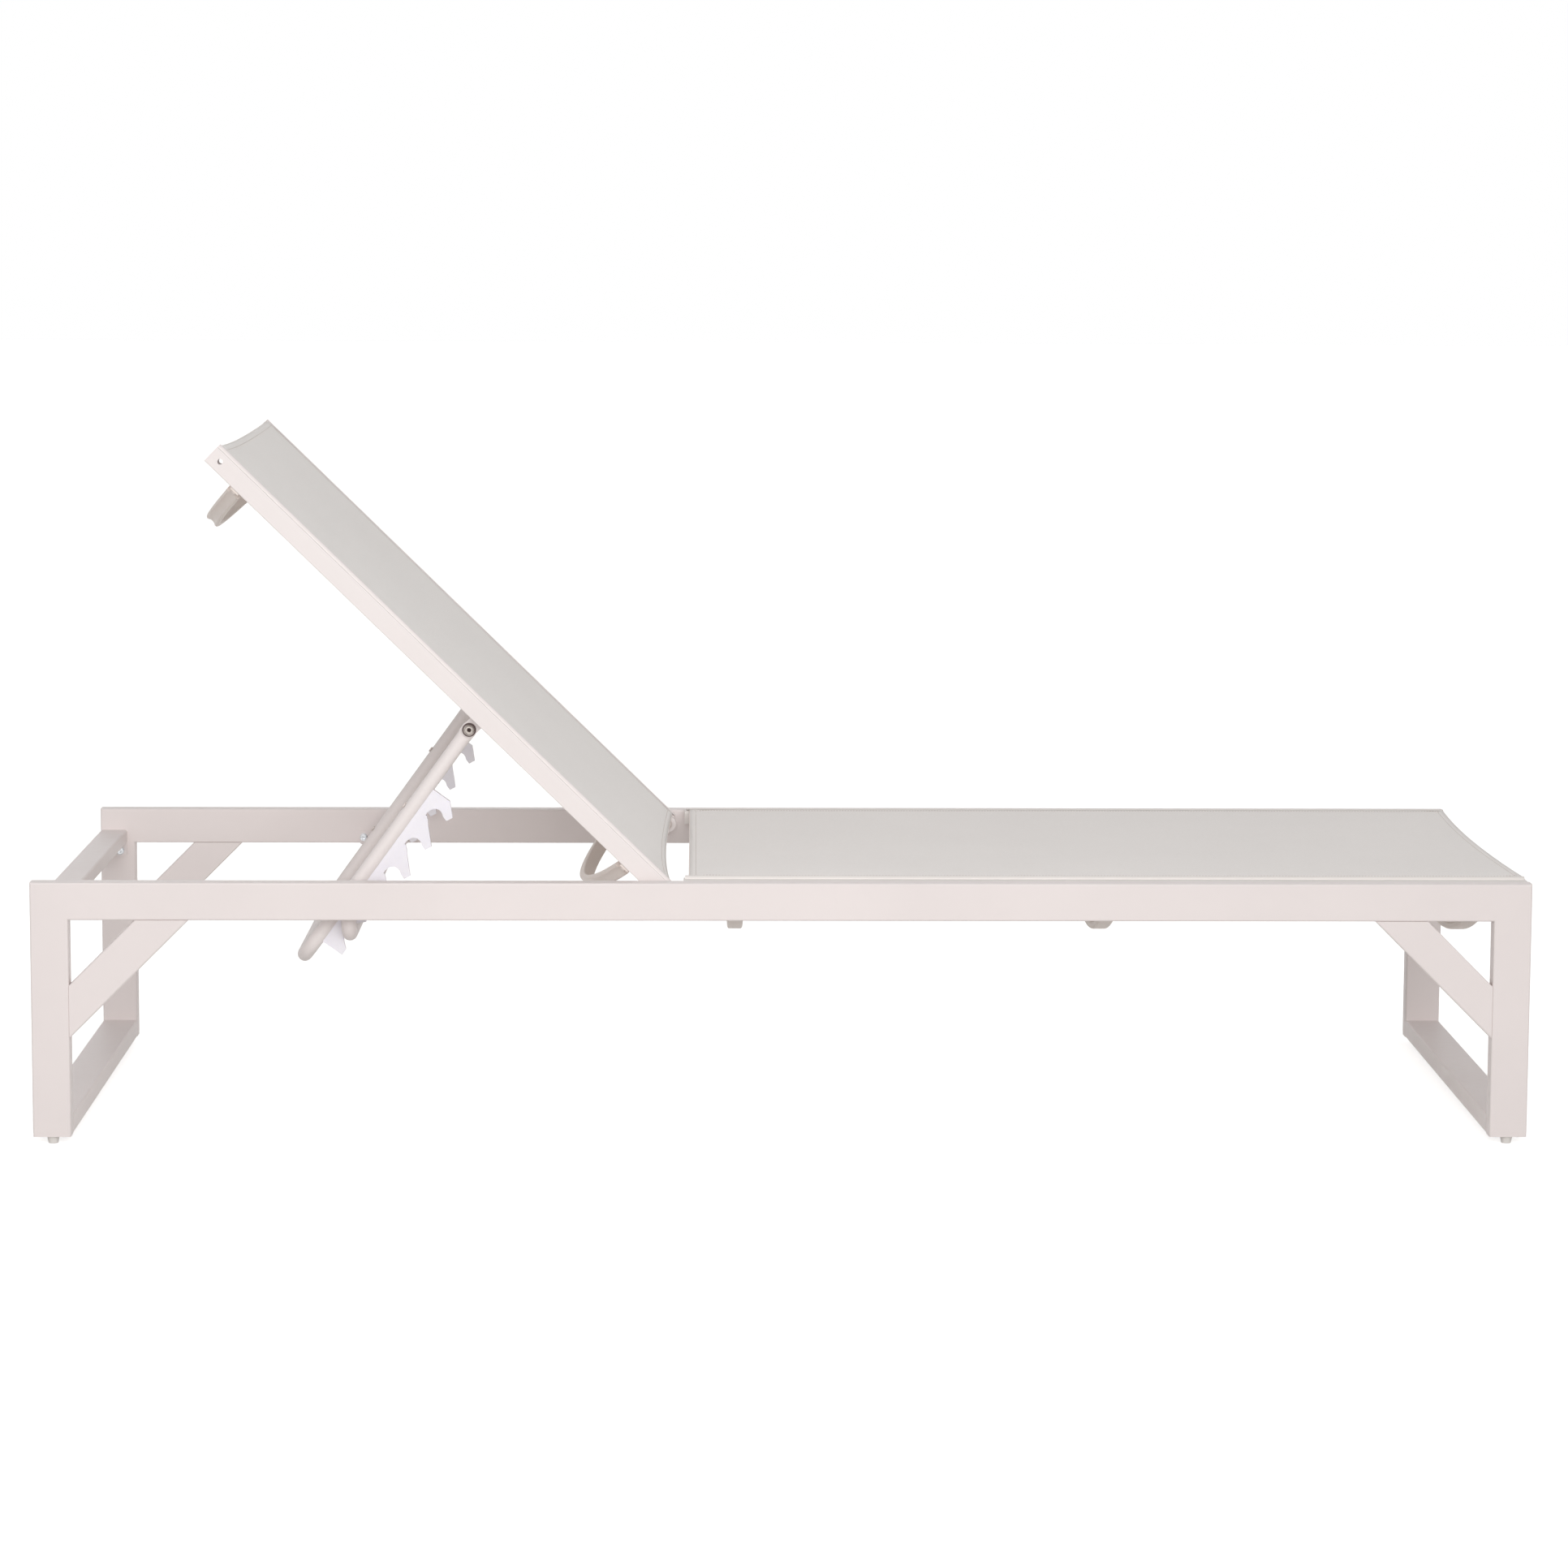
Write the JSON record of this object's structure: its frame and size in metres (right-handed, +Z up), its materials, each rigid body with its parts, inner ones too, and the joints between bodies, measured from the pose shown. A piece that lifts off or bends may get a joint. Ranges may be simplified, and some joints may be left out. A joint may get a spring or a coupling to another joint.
{
  "type": "chaise lounge",
  "caption": "Reclining patio chaise lounge: white tube side frames, fabric seat and back slings, and a back held up by a toothed stay on a catch bar.",
  "frame": {"origin": "on the floor, under the middle of the lounge's length and width", "axes": "X from the head end to the foot end, Y from the near side to the far side, Z up"},
  "size_m": [1.98, 0.7, 0.9238],
  "materials": {
    "frame_paint": "white powder coat, satin",
    "rail_paint": "white powder-coated extrusion, satin",
    "nylon": "moulded white nylon",
    "glide": "light grey moulded plastic",
    "zinc": "zinc-plated steel",
    "sling": "light beige woven mesh",
    "keder": "fabric-wrapped plastic cord"
  },
  "bodies": {
    "base": {"near_side_rail": "frame_paint", "far_side_rail": "frame_paint", "near_head_leg": "frame_paint", "near_foot_leg": "frame_paint", "far_head_leg": "frame_paint", "far_foot_leg": "frame_paint", "near_head_brace": "frame_paint", "near_foot_brace": "frame_paint", "far_head_brace": "frame_paint", "far_foot_brace": "frame_paint", "head_skid_bar": "frame_paint", "foot_skid_bar": "frame_paint", "leg_end_caps": "frame_paint", "foot_glides": "glide", "end_cap_screws": "zinc", "head_crossbar": "frame_paint", "crossbar_end_plates": "frame_paint", "crossbar_bolts": "zinc", "catch_bar": "frame_paint", "catch_bar_plates": "frame_paint", "catch_bar_bolts": "zinc", "near_seat_sling_rail": "rail_paint", "far_seat_sling_rail": "rail_paint", "seat_rail_end_caps": "rail_paint", "seat_keder_cords": "keder", "seat_stretcher_head": "frame_paint", "seat_stretcher_middle": "frame_paint", "seat_stretcher_foot": "frame_paint", "seat_stretcher_screws": "zinc", "seat_sling": "sling", "hinge_bolts": "zinc"},
    "back": {"near_back_rail": "frame_paint", "far_back_rail": "frame_paint", "hinge_bushes": "nylon", "back_keder_cords": "keder", "back_stretcher_lower": "frame_paint", "back_stretcher_upper": "frame_paint", "back_stretcher_screws": "zinc", "back_sling": "sling", "near_stay_lug": "frame_paint", "far_stay_lug": "frame_paint", "stay_pivot_bolts": "zinc", "stay_pivot_washers": "zinc"},
    "stay": {"stay_tube": "frame_paint", "stay_paddles": "frame_paint", "near_rack": "nylon", "far_rack": "nylon", "rack_screws": "zinc"}
  },
  "joints": [
    {"name": "back_recline", "type": "hinge", "parent": "base", "child": "back", "pos_m": [-0.1575, 0, 0.333], "axis": [0, 1, 0], "range_deg": [-44.33, 0]},
    {"name": "stay_fold", "type": "hinge", "parent": "back", "child": "stay", "pos_m": [-0.41529, 0, 0.54694], "axis": [0, 1, 0], "range_deg": [0, 98.5]}
  ],
  "couplings": [
    {"joint": "stay_fold", "follows": "back_recline", "ratio": -2.2204}
  ]
}
